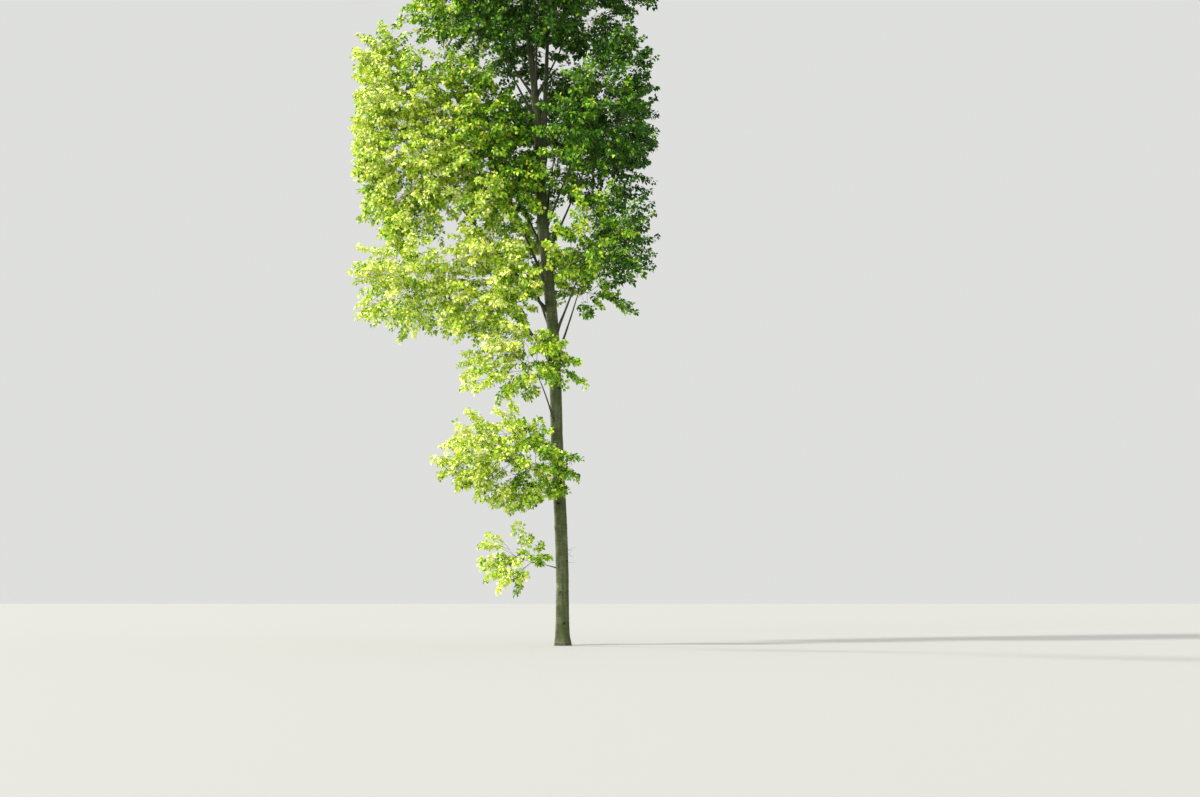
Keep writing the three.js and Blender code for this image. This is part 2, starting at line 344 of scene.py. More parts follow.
# Leaf colours from the brightest to the darkest, lit and shaded greens of painted light, and the one that
# some bright leaves have instead
LEAF_COLOURS = {
    "cream": (0.82, 0.90, 0.30),
    "gold": (0.64, 0.79, 0.062),
    "lime": (0.42, 0.635, 0.030),
    "fresh": (0.245, 0.475, 0.015),
    "green": (0.132, 0.33, 0.013),
    "deep": (0.066, 0.205, 0.008),
    "dark": (0.029, 0.10, 0.004),
}
WARM_LEAF = (0.58, 0.58, 0.035)
WARM_SHARE = 0.07
WARM_SHADES = 4
LEAF_ROUGHNESS = 0.5
TWIG_COLOUR = (0.085, 0.075, 0.05)
SHOOT_COLOUR = (0.16, 0.17, 0.06)
DEAD_WOOD_COLOUR = (0.42, 0.38, 0.26)

# Studio
FLOOR_SIZE = 400
FLOOR_DROP = 0.002
FLOOR_COLOUR = (0.50, 0.505, 0.505)
SURROUND_COLOUR = (0.94, 0.95, 0.93, 1)
SURROUND_STRENGTH = 0.78


def unit(vectors):
    """The vectors at length one."""
    return vectors / np.maximum(np.linalg.norm(vectors, axis=-1, keepdims=True), 1e-9)


def through(points, at):
    """Places at the fractional indices at, on a smooth curve through the points."""
    padded = np.vstack([2 * points[:1] - points[1:2], points, 2 * points[-1:] - points[-2:-1]])
    index = np.clip(np.floor(at).astype(int), 0, len(points) - 2)
    t = (at - index)[:, None]
    before, start, end, after = (padded[index + k] for k in range(4))
    straight = 2 * start + (end - before) * t
    bent = (2 * before - 5 * start + 4 * end - after) * t**2
    return (straight + bent + (3 * start - before - 3 * end + after) * t**3) / 2


def section_axes(paths):
    """Tangents of paths (..., rings, 3) and two directions square to them at each ring."""
    tangents = unit(np.gradient(paths, axis=-2))
    chord = np.abs(unit(paths[..., -1, :] - paths[..., 0, :]))
    steady = np.eye(3)[np.argmin(chord, axis=-1)][..., None, :]
    across = unit(steady - np.sum(steady * tangents, axis=-1, keepdims=True) * tangents)
    return tangents, across, np.cross(tangents, across)


def node_mesh(name):
    """A merged copy of a CAD node's points and the neighbours of each."""
    copy = bmesh.new()
    copy.from_mesh(frame["nodes"][name].data)
    bmesh.ops.remove_doubles(copy, verts=copy.verts, dist=SEAM)
    copy.verts.ensure_lookup_table()
    points = np.array([vertex.co[:] for vertex in copy.verts])
    near = [[edge.other_vert(vertex).index for edge in vertex.link_edges] for vertex in copy.verts]
    copy.free()
    return points, near


def add_piece(mesh, materials, replaced):
    """An object round a mesh that rides on the tree and stands for CAD nodes."""
    piece = bpy.data.objects.new(mesh.name, mesh)
    bpy.context.scene.collection.objects.link(piece)
    for material in materials:
        mesh.materials.append(material)
    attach(piece, "root")
    if replaced:
        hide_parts(*replaced)


# Shaders


class Signal:
    """One output of a shader node. A sum on it adds the node that works it out."""

    def __init__(self, shader, output):
        self.shader = shader
        self.output = output

    def worked(self, operation, first, second=0.0):
        """What one operation makes of two inputs."""
        return self.shader.add("ShaderNodeMath", {"operation": operation}, {0: first, 1: second})

    def __add__(self, other):
        return self.worked("ADD", self, other)

    __radd__ = __add__

    def __sub__(self, other):
        return self.worked("SUBTRACT", self, other)

    def __rsub__(self, other):
        return self.worked("SUBTRACT", other, self)

    def __mul__(self, other):
        return self.worked("MULTIPLY", self, other)

    __rmul__ = __mul__

    def size(self):
        """Its value without the sign."""
        return self.worked("ABSOLUTE", self)

    def or_more(self, other):
        """The greater of two signals."""
        return self.worked("MAXIMUM", self, other)

    def rise(self, low, high):
        """0 up to low, 1 from high, and a smooth rise between them."""
        ends = {"Value": self, "From Min": low, "From Max": high}
        return self.shader.add("ShaderNodeMapRange", {"interpolation_type": "SMOOTHSTEP"}, ends)

    def fall(self, low, high):
        """1 up to low, 0 from high."""
        return 1.0 - self.rise(low, high)


class Shader:
    """A material with one Principled node, and the nodes that feed it."""

    def __init__(self, name, **constants):
        self.material = bpy.data.materials.new(name)
        self.material.use_nodes = True
        self.tree = self.material.node_tree
        self.surface = self.tree.nodes["Principled BSDF"]
        for socket, value in constants.items():
            self.surface.inputs[socket.replace("_", " ")].default_value = value

    def node(self, kind, settings, inputs):
        """A new node: first its settings, then a value or a link for each input."""
        made = self.tree.nodes.new(kind)
        for name, value in settings.items():
            setattr(made, name, value)
        for name, value in inputs.items():
            self.feed(made.inputs[name], value)
        return made

    def add(self, kind, settings, inputs, output=0):
        """One output of a new node."""
        return Signal(self, self.node(kind, settings, inputs).outputs[output])

    def feed(self, socket, value):
        """Links a signal to a socket, or sets a value on it."""
        if isinstance(value, Signal):
            self.tree.links.new(value.output, socket)
        else:
            socket.default_value = value

    def attribute(self, name):
        """A mark that the mesh carries."""
        return self.add("ShaderNodeAttribute", {"attribute_name": name}, {}, "Fac")

    def noise(self, place, detail, scale=1.0):
        """Smooth noise from 0 to 1 at a place."""
        inputs = {"Vector": place, "Scale": scale, "Detail": detail, "Roughness": 0.55}
        return self.add("ShaderNodeTexNoise", {}, inputs, "Fac")

    def mix(self, factor, first, second):
        """The first colour where the factor is 0, the second where it is 1."""
        inputs = {"Factor": factor, 6: first, 7: second}
        return self.add("ShaderNodeMix", {"data_type": "RGBA"}, inputs, 2)

    def vector(self, x, y, z):
        """A place from three signals."""
        return self.add("ShaderNodeCombineXYZ", {}, {"X": x, "Y": y, "Z": z})


def scar_signal(shader):
    """Branch scars: a dark lens with whiskers that curve down on both sides, like an eyebrow."""
    across = shader.attribute("scar_across")
    up = shader.attribute("scar_up")
    whisker = (up - WHISKER_UP).size().fall(*WHISKER_FADE) * across.size().fall(*WHISKER_ENDS)
    wide = across * LENS_ACROSS
    tall = up * LENS_UP
    lens = (wide * wide + tall * tall).fall(*LENS_FADE)
    return lens.or_more(whisker * WHISKER_SHOWN)


def bark_material(name, pale, dark, moss, painted_sunlit):
    """Grey-olive bark, mossy away from the light, with rings, dashes and scars; painted paler towards the
    light, standing in for its lit side, and painted darker inside the crown, where the crown's shade falls."""
    shader = Shader(name)
    here = shader.add("ShaderNodeTexCoord", {}, {}, "Object")
    x, y, z = (Signal(shader, part) for part in shader.node("ShaderNodeSeparateXYZ", {}, {0: here}).outputs)
    along = shader.attribute("along")
    side = shader.attribute("moss_and_lit_side")
    foot = shader.attribute("foot")
    scar = scar_signal(shader)

    def grained(grain):
        """The noise of one grain, round the limb and along it."""
        place = shader.vector(x * grain.around, y * grain.around, along * grain.along)
        return shader.noise(place, grain.detail)

    blotches = shader.noise(here, detail=4.0, scale=BLOTCH_SCALE).rise(*BLOTCH_FADE)
    speckle = shader.noise(here, detail=3.0, scale=SPECKLE_SCALE)
    bands = grained(BANDS).fall(*BANDS.fade)
    rings = (grained(RINGS) - 0.5).size().fall(*RINGS.fade)
    dashes = grained(DASHES).fall(*DASHES.fade)
    cracks = grained(CRACKS).fall(*CRACKS.fade)
    streaks = grained(STREAKS)

    least_moss, most_moss = MOSS_SHOWN
    mossy = least_moss + streaks.rise(*STREAKS.fade) * (most_moss - least_moss)
    colour = shader.mix(blotches, dark, pale)
    colour = shader.mix(speckle.rise(*SPECKLE_FADE) * SPECKLE_SHOWN, colour, SPECKLE_COLOUR)
    colour = shader.mix(bands * BANDS_SHOWN, colour, BAND_COLOUR)
    colour = shader.mix(side.rise(*MOSSY_SIDE) * mossy, colour, moss)
    # Painted light: a paler side towards the light, standing in for the bark's lit side
    painted_light = side.fall(*PAINTED_LIGHT_SIDE) * streaks.rise(*PAINTED_LIGHT_STREAKS)
    colour = shader.mix(painted_light * PAINTED_LIGHT_SHOWN, colour, painted_sunlit)
    colour = shader.mix(cracks * (CRACKS_SHOWN + foot * CRACKS_SHOWN_AT_FOOT), colour, CRACK_COLOUR)
    colour = shader.mix(dashes.or_more(rings * RINGS_SHOWN) * DASHES_SHOWN, colour, DASH_COLOUR)
    colour = shader.mix(scar * SCARS_SHOWN, colour, SCAR_COLOUR)
    # Painted shade: darker bark inside the crown, where the leaves shade it
    colour = shader.mix(z.rise(*PAINTED_CROWN_SHADE_HEIGHTS) * PAINTED_CROWN_SHADE_SHARE, colour, PAINTED_CROWN_SHADE)

    # How high or deep each mark stands in the bump
    height = speckle * 0.3 - bands * 0.4 - rings * 0.5 - dashes * 0.6 - cracks * (0.4 + foot) - scar * 0.8
    bump = {"Strength": 0.6, "Distance": 0.007, "Height": height}
    shader.feed(shader.surface.inputs["Base Color"], colour)
    shader.feed(shader.surface.inputs["Roughness"], 0.93 - blotches * 0.12)
    shader.feed(shader.surface.inputs["Normal"], shader.add("ShaderNodeBump", {}, bump))
    return shader.material


def plain_material(name, colour, roughness):
    """One colour. The leaves and twigs are told apart by several of these."""
    return Shader(name, Base_Color=(*colour, 1), Roughness=roughness, Specular_IOR_Level=0.3).material


# Bark


def rolled_limb(name, rows, sides, place):
    """A closed limb: a grid of rows by sides that place() rolls up, with place()'s marks on it."""
    limb = bmesh.new()
    bmesh.ops.create_grid(limb, x_segments=sides, y_segments=rows - 1, size=0.5)
    spots = np.array([vertex.co[:] for vertex in limb.verts]) + 0.5
    row = np.rint(spots[:, 1] * (rows - 1)).astype(int)
    bearing = np.rint(spots[:, 0] * sides) % sides * math.tau / sides
    points, marks = place(row, bearing)
    layers = {mark: limb.verts.layers.float.new(mark) for mark in marks}
    for index, vertex in enumerate(limb.verts):
        vertex.co = points[index]
        for mark, layer in layers.items():
            vertex[layer] = marks[mark][index]
    bmesh.ops.remove_doubles(limb, verts=limb.verts, dist=SEAM)
    bmesh.ops.holes_fill(limb, edges=limb.edges, sides=0)
    bmesh.ops.recalc_face_normals(limb, faces=limb.faces)
    for face in limb.faces:
        face.smooth = len(face.verts) < 5
    mesh = bpy.data.meshes.new(name)
    limb.to_mesh(mesh)
    limb.free()
    return mesh


def stem_rings():
    """The middles of the trunk's level rings in the frame, and their radii at even bearings."""
    points, _ = node_mesh("trunk")
    levels = np.unique(points[:, 2].round(3))
    bearings = np.linspace(0, math.tau, TRUNK_SIDES, endpoint=False)
    middles = []
    radii = []
    for level in levels:
        ring = points[np.abs(points[:, 2] - level) < LEVEL_ROOM]
        distance = np.linalg.norm(ring - (ring.min(axis=0) + ring.max(axis=0)) / 2, axis=1)
        rim = ring[distance > distance.max() / 2]
        middle = rim.mean(axis=0)
        out = rim - middle
        angle = np.arctan2(out[:, 1], out[:, 0])
        order = np.argsort(angle)
        reach = np.linalg.norm(out[:, :2], axis=1)[order]
        middles.append(middle)
        radii.append(np.interp(bearings, angle[order], reach, period=math.tau))
    return np.array(middles), np.array(radii)


STEM_MIDDLES, STEM_RADII = stem_rings()


def stem_index(heights):
    """Which of the stem's rings each height lies at, with a fraction between two."""
    return np.interp(heights, STEM_MIDDLES[:, 2], np.arange(len(STEM_MIDDLES)))


def stem_at(heights):
    """The middle of the trunk at each height."""
    return through(STEM_MIDDLES, stem_index(heights))


def off_stem(points):
    """How far points are from the middle of the trunk at their heights."""
    return np.linalg.norm(points - stem_at(points[:, 2]), axis=1)


def scar_list(rng):
    """Height, bearing, half width and droop of each branch scar: uneven whorls up the clean stem."""
    scars = []
    height = SCARS_FROM
    while height < SCARS_TO:
        count = rng.integers(*SCARS_A_WHORL)
        turned = rng.uniform(0, math.tau)
        half = SCAR_SHARE * STEM_RADII[int(stem_index(height))].mean()
        for k in range(count):
            rise = height + rng.uniform(-WHORL_SCATTER, WHORL_SCATTER)
            bearing = turned + k * math.tau / count + rng.uniform(-SCAR_TURN_SCATTER, SCAR_TURN_SCATTER)
            bearing %= math.tau
            scars.append((rise, bearing, half * rng.uniform(*SCAR_SIZES), rng.uniform(*SCAR_DROOPS)))
        height += WHORL_SPACING * rng.uniform(*WHORL_UNEVENNESS)
    return scars


def scar_field(scars, heights, bearings, radii):
    """Each point's place on the nearest scar, in half widths across and up, and how proud it stands."""
    across = np.full(len(heights), FAR_FROM_SCARS)
    up = np.full(len(heights), FAR_FROM_SCARS)
    proud = np.zeros(len(heights))
    for rise, bearing, half, droop in scars:
        turn = (bearings - bearing + math.pi) % math.tau - math.pi
        sideways = turn * radii / half
        level = (heights - rise) / half
        near = (np.abs(sideways) < SCAR_ZONE) & (np.abs(level) < SCAR_ZONE)
        arched = level[near] + droop * sideways[near] ** 2
        across[near] = sideways[near]
        up[near] = arched
        lip = np.exp(-((np.abs(arched) - LIP_AT) / LIP_WIDTH) ** 2)
        hollow = np.exp(-(arched / HOLLOW_WIDTH) ** 2)
        fade = np.clip(SCAR_ENDS - np.abs(sideways[near]), 0, 1)
        proud[near] = SCAR_PROUD * half * (lip - HOLLOW_SHARE * hollow) * fade
    return across, up, proud


def noise_at(points, scales):
    """Smooth noise at points that repeats the given number of times in a metre along each axis."""
    return np.array([noise.noise(Vector(spot)) for spot in points * scales])


def bark_trunk(material, rng):
    """The trunk, from its flat cut to its tip, with lumps, rings, a cracked foot and branch scars."""
    top = STEM_MIDDLES[-1, 2]
    low = np.arange(0, TRUNK_LOW_TO, TRUNK_LOW_STEP)
    high = np.linspace(TRUNK_LOW_TO, top, int((top - TRUNK_LOW_TO) / TRUNK_HIGH_STEP))
    heights = np.concatenate([low, high])
    middles = stem_at(heights)
    radii = through(STEM_RADII, stem_index(heights))
    scars = scar_list(rng)

    def place(row, bearing):
        """The skin and its marks at each ring and bearing."""
        side = np.rint(bearing / math.tau * TRUNK_SIDES).astype(int) % TRUNK_SIDES
        radius = radii[row, side]
        height = heights[row]
        out = np.stack([np.cos(bearing), np.sin(bearing), np.zeros(len(row))], axis=1)
        flat = middles[row] + out * radius[:, None]
        flat[:, 2] = height
        foot = np.clip(1 - height / FISSURE_TOP, 0, 1) ** FISSURE_FADE
        across, up, proud = scar_field(scars, height, bearing, radius)
        relief = noise_at(flat, LUMP_SCALES) * LUMP_DEPTH + noise_at(flat, RING_SCALES) * RING_DEPTH + proud
        relief *= np.clip(radius / THICK_STEM, THIN_STEM_SHARE, 1)
        relief += noise_at(flat, FISSURE_SCALES) * FISSURE_DEPTH * foot
        moss_and_lit_side = np.cos(bearing - MOSS_BEARING)
        marks = {"along": height, "scar_across": across, "scar_up": up, "moss_and_lit_side": moss_and_lit_side, "foot": foot}
        return flat + out * relief[:, None], marks

    mesh = rolled_limb("bark_trunk", len(heights), TRUNK_SIDES, place)
    add_piece(mesh, [material], ["trunk"])


def limb_rings(name):
    """Middles and radii of a limb's rings, from its root to its tip, by a walk down from the tip."""
    points, near = node_mesh(name)
    far = int(np.argmax(off_stem(points) + points[:, 2]))
    evenness = {}
    for index in [far] + near[far]:
        reach = np.linalg.norm(points[near[index]] - points[index], axis=1)
        evenness[index] = reach.std() / reach.mean()
    layer = [min(evenness, key=evenness.get)]
    seen = set(layer)
    middles = []
    radii = []
    while layer:
        ring = points[layer]
        if len(layer) == FRAME_BOUGH_SIDES:
            middles.append(ring.mean(axis=0))
            radii.append(np.linalg.norm(ring - ring.mean(axis=0), axis=1).mean())
        layer = sorted({other for index in layer for other in near[index]} - seen)
        seen.update(layer)
    return np.array(middles[::-1]), np.array(radii[::-1])


def rooted(middles, radii):
    """The rings with one more at the limb's root, where its own bend leads it to the trunk's middle."""
    spacing = np.linalg.norm(middles[1] - middles[0])
    share = ROOT_STEP / spacing
    heading = unit(middles[0] - middles[1])
    bend = (heading - unit(middles[1] - middles[2])) * share
    root = middles[0]
    clear = off_stem(root[None])[0]
    steps = 0
    while clear > ROOT_DEEP:
        heading = unit(heading + bend)
        closer = off_stem((root + heading * ROOT_STEP)[None])[0]
        if closer >= clear:
            break
        root = root + heading * ROOT_STEP
        clear = closer
        steps += 1
    thicker = radii[0] + (radii[0] - radii[1]) * share * steps
    return np.vstack([root, middles]), np.concatenate([[thicker], radii])


def resampled(points, radii):
    """Points and radii at even steps along a limb, its corners eased, and how far along each is."""
    run = np.concatenate([[0], np.cumsum(np.linalg.norm(np.diff(points, axis=0), axis=1))])
    along = np.linspace(0, run[-1], int(run[-1] / LIMB_STEP) + 2)
    path = np.stack([np.interp(along, run, axis) for axis in points.T], axis=1)
    for _ in range(LIMB_EASE):
        path[1:-1] = (path[:-2] + 2 * path[1:-1] + path[2:]) / 4
    return path, np.interp(along, run, radii), along


def bark_limb(node, material, sides):
    """A bough or leader, with a collar where it leaves the trunk. Gives its line and radii."""
    path, thick, along = resampled(*rooted(*limb_rings(node)))
    _, across, upright = section_axes(path)
    collar = 1 + COLLAR_SWELL * np.exp(-np.maximum(off_stem(path) - COLLAR_FROM, 0) / COLLAR_REACH)

    def place(row, bearing):
        """The skin and its marks at each ring and bearing."""
        radius = thick[row] * collar[row]
        out = across[row] * np.cos(bearing)[:, None] + upright[row] * np.sin(bearing)[:, None]
        spots = path[row] + out * radius[:, None]
        lumps = noise_at(spots, BOUGH_LUMP_SCALES) * radius * BOUGH_LUMP_SHARE
        # The moss side, and opposite it the side of painted light
        moss = out @ np.array([math.cos(MOSS_BEARING), math.sin(MOSS_BEARING), 0.0])
        none = np.zeros(len(row))
        far = none + FAR_FROM_SCARS
        marks = {"along": along[row], "scar_across": far, "scar_up": far, "moss_and_lit_side": moss, "foot": none}
        return spots + out * lumps[:, None], marks

    mesh = rolled_limb(f"bark_{node}", len(path), sides, place)
    add_piece(mesh, [material], [node])
    return path, thick


def dead_twigs(material, rng):
    """A few bare pale twigs, low on the side of the trunk away from the light."""
    heights = rng.uniform(*DEAD_TWIG_HEIGHTS, DEAD_TWIGS)
    bearing = rng.uniform(*DEAD_TWIG_BEARINGS, DEAD_TWIGS)
    out = np.stack([np.cos(bearing), np.sin(bearing), np.zeros(DEAD_TWIGS)], axis=1)
    trunk_radius = STEM_RADII[int(stem_index(heights.mean()))].mean()
    starts = stem_at(heights) + out * trunk_radius * JUST_INSIDE
    way = unit(out + DEAD_TWIG_SCATTER * rng.normal(size=out.shape))
    t = np.linspace(0, 1, SPRAY_RINGS)[None, :, None]
    length = rng.uniform(*DEAD_TWIG_LENGTHS, DEAD_TWIGS)[:, None, None]
    bend = rng.uniform(-DEAD_TWIG_BEND, DEAD_TWIG_BEND, DEAD_TWIGS)[:, None, None]
    paths = starts[:, None] + way[:, None] * length * t + UP * bend * length * t**2
    radii = np.tile(np.linspace(1, DEAD_TWIG_THINNING, SPRAY_RINGS) * DEAD_TWIG_RADIUS, (DEAD_TWIGS, 1))
    wood = tubes(paths, radii, sides=5)
    add_piece(joined_mesh("dead_twigs", [wood], np.zeros(len(wood[1]))), [material], [])


# Joined meshes of twigs and leaves


def tubes(paths, radii, sides):
    """Closed tapering tubes along paths (count, rings, 3), each drawn to a point at its last ring."""
    count, rings, _ = paths.shape
    _, across, upright = section_axes(paths)
    turn = np.arange(sides) * math.tau / sides
    ring = across[:, :, None] * np.cos(turn)[:, None] + upright[:, :, None] * np.sin(turn)[:, None]
    wall = paths[:, :-1, None] + ring[:, :-1] * radii[:, :-1, None, None]
    points = np.concatenate([wall.reshape(count, -1, 3), paths[:, -1:]], axis=1)
    faces = []
    tip = (rings - 1) * sides
    for k in range(sides):
        follow = (k + 1) % sides
        for low in range(0, tip - sides, sides):
            faces.append((low + k, low + follow, low + sides + follow))
            faces.append((low + k, low + sides + follow, low + sides + k))
        faces.append((tip - sides + k, tip - sides + follow, tip))
        if 0 < k < sides - 1:
            faces.append((0, k + 1, k))
    start = np.arange(count)[:, None, None] * points.shape[1]
    return points.reshape(-1, 3), (np.array(faces)[None] + start).reshape(-1, 3)


def joined_mesh(name, parts, shades):
    """One mesh from parts of points and triangles, with a material number for each triangle."""
    starts = np.cumsum([0] + [len(points) for points, _ in parts[:-1]])
    points = np.concatenate([points for points, _ in parts])
    faces = np.concatenate([faces + start for (_, faces), start in zip(parts, starts)])
    mesh = bpy.data.meshes.new(name)
    mesh.vertices.add(len(points))
    mesh.vertices.foreach_set("co", points.astype(np.float32).ravel())
    mesh.loops.add(faces.size)
    mesh.loops.foreach_set("vertex_index", faces.astype(np.int32).ravel())
    mesh.polygons.add(len(faces))
    mesh.polygons.foreach_set("loop_start", np.arange(len(faces), dtype=np.int32) * 3)
    mesh.polygons.foreach_set("material_index", shades.astype(np.int32))
    mesh.update(calc_edges=True)
    mesh.validate()
    return mesh


# Growth


class Mass:
    """One foliage solid of the frame, and how it grows. A small one has denser twigs and fewer gaps."""

    def __init__(self, name):
        points, _ = node_mesh(f"foliage_{name}")
        self.habit = LIGHT_SIDE_HABITS.get(name, REST_HABIT)
        self.middle = (points.min(axis=0) + points.max(axis=0)) / 2
        self.half = (points.max(axis=0) - points.min(axis=0)) / 2
        self.scale = min(1, self.half.mean() / FULL_SCALE_HALF)
        solid = bmesh.new()
        solid.from_mesh(frame["nodes"][f"foliage_{name}"].data)
        self.shell = BVHTree.FromBMesh(solid)
        solid.free()

    def depths(self, points):
        """How far inside the solid each point is, below zero outside it."""
        found = []
        for point in points:
            nearest, normal, _, distance = self.shell.find_nearest(Vector(point))
            inside = (Vector(point) - nearest).dot(normal) < 0
            found.append(distance if inside else -distance)
        return np.array(found)

    def outward(self, points):
        """The way from the solid's middle to each point, evened out over its width and height."""
        return unit((points - self.middle) / self.half)

    def edge(self, way):
        """Where a line from the middle leaves the solid."""
        found, _, _, _ = self.shell.ray_cast(Vector(self.middle), Vector(way))
        return np.array(found) if found else self.middle + way * self.half

    def nodes(self, rng):
        """Places for twigs to reach: uneven, closer near the outside, and none where a gap shows."""
        spacing = self.habit.spacing * self.scale
        steps = [np.arange(-half + spacing / 2, half, spacing) for half in self.half]
        grid = np.stack(np.meshgrid(*steps, indexing="ij"), axis=-1).reshape(-1, 3)
        grid = self.middle + grid + rng.uniform(-0.5, 0.5, grid.shape) * spacing
        depth = self.depths(grid)
        leafy = noise_at(grid, GAP_SCALES) > GAP_LEVEL / self.scale**2
        chosen = (depth < CORE_DEPTH) | (rng.uniform(size=len(grid)) < CORE_SHARE)
        return grid[(depth > NODE_DEPTH) & leafy & chosen]

    def axis(self, entry, tip, heading):
        """The limb's own way on through the mass, from its tip to near the far edge."""
        onward = unit(unit(self.middle - entry) + AXIS_RISE * self.habit.rise * UP)
        far = self.middle + AXIS_SHARE * (self.edge(onward) - self.middle)
        reach = np.linalg.norm(far - tip)
        bend = tip + heading * reach * AXIS_BEND
        t = np.linspace(0, 1, max(3, int(reach / AXIS_STEP) + 1))[1:, None]
        return (1 - t) ** 2 * tip + 2 * t * (1 - t) * bend + t**2 * far


class Skeleton:
    """Nodes of a branching growth: the place, parent, way from the root and heading of each."""

    def __init__(self):
        self.places = []
        self.parents = []
        self.trails = []
        self.headings = []

    def add(self, place, parent, heading):
        """Adds one node and gives its number."""
        trail = self.trails[parent] + np.linalg.norm(place - self.places[parent]) if parent >= 0 else 0
        self.places.append(place)
        self.parents.append(parent)
        self.trails.append(trail)
        self.headings.append(heading)
        return len(self.places) - 1

    def follow(self, path, parent):
        """Adds a line of nodes and gives the last one."""
        headings = unit(np.gradient(path, axis=0))
        for place, heading in zip(path, headings):
            parent = self.add(place, parent, heading)
        return parent

    def take_up(self, limb, mass):
        """Adds the nodes of a limb's own part inside a mass, or its tip alone, and gives the last one."""
        path, _ = limb
        stride = round(AXIS_STEP / LIMB_STEP)
        inside = path[np.append(mass.depths(path[:-1]) > 0, True)]
        if len(inside) > stride:
            return self.follow(inside[::-1][::stride][::-1], -1)
        return self.add(path[-1], -1, unit(path[-1] - path[-3]))

    def grow(self, targets):
        """Joins each target to the node that reaches it with the least length and turning."""
        costs = np.full(len(targets), np.inf)
        best = np.zeros(len(targets), int)
        waiting = np.ones(len(targets), bool)

        def offer(node):
            """Makes a node the parent of each target that it reaches at less cost than the others."""
            way = targets - self.places[node]
            reach = np.linalg.norm(way, axis=1)
            turn = 1 - way @ self.headings[node] / np.maximum(reach, 1e-6)
            cost = reach * (1 + TURN_COST * turn) + TRAIL_COST * self.trails[node]
            better = cost < costs
            costs[better] = cost[better]
            best[better] = node

        for node in range(len(self.places)):
            offer(node)
        while waiting.any():
            pick = int(np.argmin(np.where(waiting, costs, np.inf)))
            parent = int(best[pick])
            onward = unit(targets[pick] - self.places[parent])
            heading = unit(onward + KEPT_HEADING * self.headings[parent])
            offer(self.add(targets[pick], parent, heading))
            waiting[pick] = False

    def settle(self, bare, tip, tip_radius):
        """Lists the children, sets radii by what each node feeds, and eases the nodes past the bare ones."""
        self.bare = bare
        self.tip = tip
        self.children = [[] for _ in self.places]
        for node, parent in enumerate(self.parents):
            if parent >= 0:
                self.children[parent].append(node)
        self.feeds = np.zeros(len(self.places))
        for node in reversed(range(len(self.places))):
            self.feeds[node] += not self.children[node]
            if self.parents[node] >= 0:
                self.feeds[self.parents[node]] += self.feeds[node]
        share = np.minimum(self.feeds / self.feeds[tip], 1)
        self.radii = np.maximum(tip_radius * share**0.5, TWIG_RADIUS)
        for _ in range(EASE_ROUNDS):
            for node in range(bare, len(self.places)):
                if self.children[node]:
                    onward = np.mean([self.places[child] for child in self.children[node]], axis=0)
                    before = self.places[self.parents[node]]
                    self.places[node] = self.places[node] / 2 + (before + onward) / 4

    def runs(self):
        """Each run of nodes to a tip, after the node it springs from, without the bark's own part."""
        starts = [node for node, parent in enumerate(self.parents) if parent < 0]
        while starts:
            node = starts.pop()
            run = [self.parents[node]] if self.parents[node] >= 0 else []
            while node is not None:
                run.append(node)
                after = sorted(self.children[node], key=lambda child: -self.feeds[child])
                starts.extend(after[1:])
                node = after[0] if after else None
            while len(run) > 1 and run[1] < self.bare:
                run.pop(0)
            yield run


def within_frame(points):
    """Whether leaves at these points keep to the frame's box, which may be passed by a small share."""
    low, high = (np.array(corner) for corner in CAD_BOX)
    margin = STAND_PROUD * (high - low) - LEAF_ROOM
    return np.all((points > low - margin) & (points < high + margin), axis=-1)


def spray_axes(skeleton, mass, rng):
    """A curved line for the spray of leaves at each node: onwards and out, then bending over. One that
    points down reaches less far past the solid."""
    habit = mass.habit
    places = np.array(skeleton.places)
    parents = np.array(skeleton.parents)
    onward = unit(places - places[np.maximum(parents, 0)] + 1e-6)
    way = SPRAY_ONWARD * onward + SPRAY_OUTWARD * mass.outward(places)
    way = way + SPRAY_SCATTER * rng.normal(size=places.shape)
    way = unit(way * (1, 1, habit.slope) + habit.rise * UP)
    room = np.maximum(mass.depths(places), SPRAY_SHORTEST)
    reach = habit.reach * np.clip(HANGING_REACH * (1 + way[:, 2]), 0, 1)
    length = np.minimum(rng.uniform(*SPRAY_LENGTHS, len(places)), room + reach)
    ends = places + way * length[:, None]
    clear = (off_stem(ends) > off_stem(places)) | (off_stem(ends) > STEM_ROOM)
    length = np.where(within_frame(ends) & clear, length, np.minimum(length, room))
    t = np.linspace(0, 1, SPRAY_RINGS)[None, :, None]
    sag = rng.uniform(*SPRAY_SAGS, len(places)) - SAG_LESS_BY_RISE * max(habit.rise, 0)
    axes = places[:, None] + way[:, None] * length[:, None, None] * t
    return axes - UP * (sag * length)[:, None, None] * t**2


def branch_tubes(skeleton, axes):
    """A tube for each run of nodes, which ends in its own spray, and a thin one for every other spray."""
    thin = np.linspace(1, TWIG_THINNING, SPRAY_RINGS) * TWIG_RADIUS
    wood = []
    others = set(range(skeleton.bare, len(axes)))
    for run in skeleton.runs():
        path = np.vstack([np.array([skeleton.places[node] for node in run]), axes[run[-1], 1:]])
        radii = np.concatenate([skeleton.radii[run], thin[1:]])
        if run[0] != skeleton.tip:
            radii[0] = min(radii[0], radii[1] * FORK_SWELL)
        at = np.linspace(0, len(path) - 1, 2 * len(path) - 1)
        fine = np.interp(at, np.arange(len(path)), radii)
        wood.append(tubes(through(path, at)[None], fine[None], sides=5))
        others.discard(run[-1])
    side = axes[sorted(others)]
    wood.append(tubes(side, np.tile(thin, (len(side), 1)), sides=3))
    return wood


